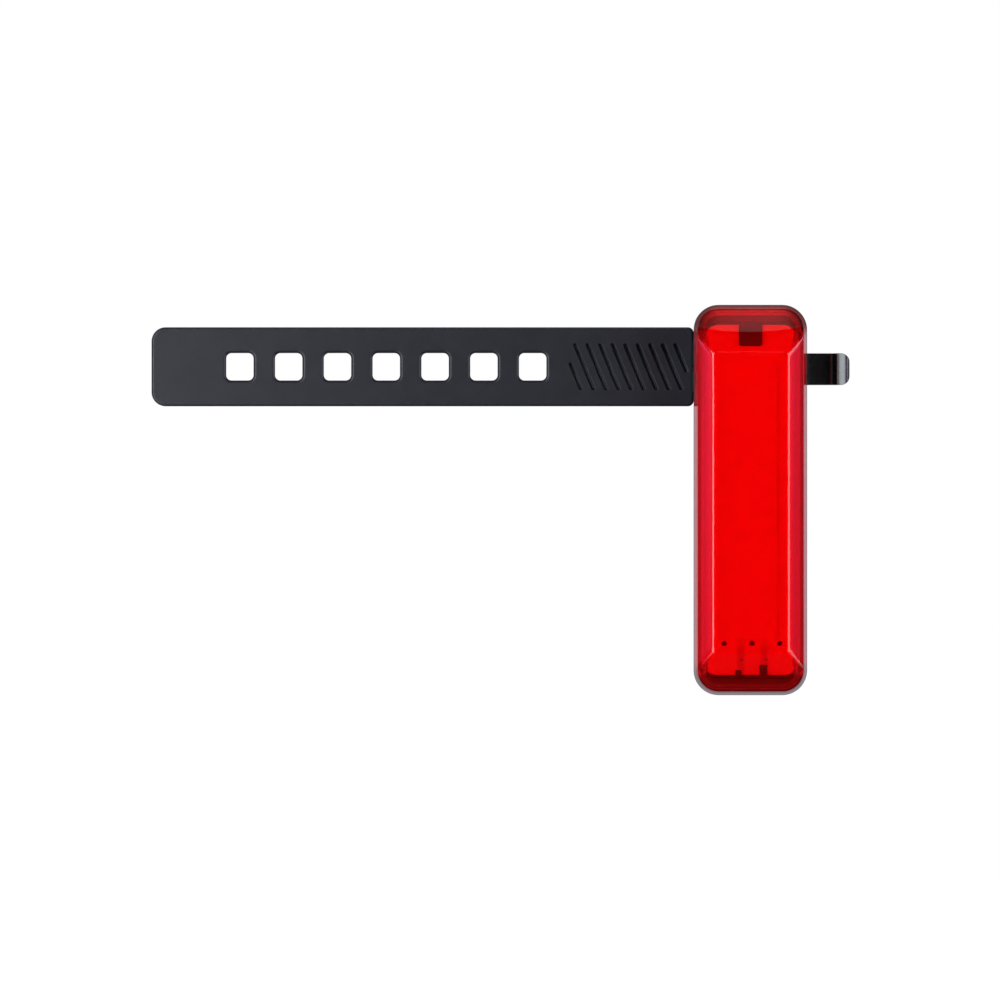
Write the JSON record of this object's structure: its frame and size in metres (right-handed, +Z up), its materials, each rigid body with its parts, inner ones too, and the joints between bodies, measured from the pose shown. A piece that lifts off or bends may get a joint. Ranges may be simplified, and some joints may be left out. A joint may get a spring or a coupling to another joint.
{
  "type": "bicycle rear light",
  "caption": "Slim upright red rear light with a raised chamfered lens, a perforated silicone strap, a strap hook and a curved rubber saddle for a seat post.",
  "frame": {"origin": "on the seat post's axis, at the middle of the strap's width", "axes": "+Z up along the post and the light, -Y out of the lens, +X towards the hook; the strap points to -X"},
  "size_m": [0.143, 0.0283, 0.0798],
  "materials": {
    "red_lens": "clear red polycarbonate, polished",
    "seal_rubber": "soft seal rubber",
    "housing_plastic": "satin black ABS",
    "white_board": "white solder mask",
    "lamp_coating": "soft lamp coating",
    "inner_plastic": "black moulded plastic",
    "green_board": "green solder mask",
    "battery_foil": "laminated foil pouch",
    "foam": "closed-cell foam tape",
    "lead_sleeve": "wire sleeve",
    "socket_steel": "plated steel shell",
    "cover_silicone": "matte silicone",
    "plunger_plastic": "switch plunger",
    "button_silicone": "matte silicone",
    "hook_plastic": "gloss black nylon",
    "screw_steel": "zinc plated",
    "pad_rubber": "grippy rubber",
    "pin_steel": "ground steel pin",
    "strap_silicone": "matte silicone with a faint sheen"
  },
  "bodies": {
    "light": {"lens_cover": "red_lens", "lens_seal": "seal_rubber", "rear_housing": "housing_plastic", "led_board": "white_board", "led_strip": "lamp_coating", "board_carrier": "inner_plastic", "lamp_pins": "socket_steel", "main_board": "green_board", "board_chips": "inner_plastic", "charge_leds": "lamp_coating", "battery_cell": "battery_foil", "battery_foam": "foam", "battery_leads": "lead_sleeve", "usb_socket": "socket_steel", "usb_contacts": "inner_plastic", "switch_body": "inner_plastic", "mount_bracket": "hook_plastic", "bracket_screws": "screw_steel", "saddle_pad": "pad_rubber", "strap_pin": "pin_steel"},
    "strap": {"strap": "strap_silicone"},
    "button": {"power_button": "button_silicone", "switch_plunger": "plunger_plastic"},
    "cover": {"usb_cover": "cover_silicone"}
  },
  "joints": [
    {"name": "strap_swing", "type": "hinge", "parent": "light", "child": "strap", "pos_m": [-0.0091, -0.0164, 0], "axis": [0, 0, -1], "range_deg": [-45, 90]},
    {"name": "button_press", "type": "slide", "parent": "light", "child": "button", "axis": [0, 0, -1], "range_m": [0, 0.0005], "stiffness_N_per_m": 2500},
    {"name": "cover_hinge", "type": "hinge", "parent": "light", "child": "cover", "pos_m": [-0.0067, -0.02427, -0.066], "axis": [0, 1, 0], "range_deg": [0, 95], "stiffness_Nm_per_rad": 0.0006}
  ]
}
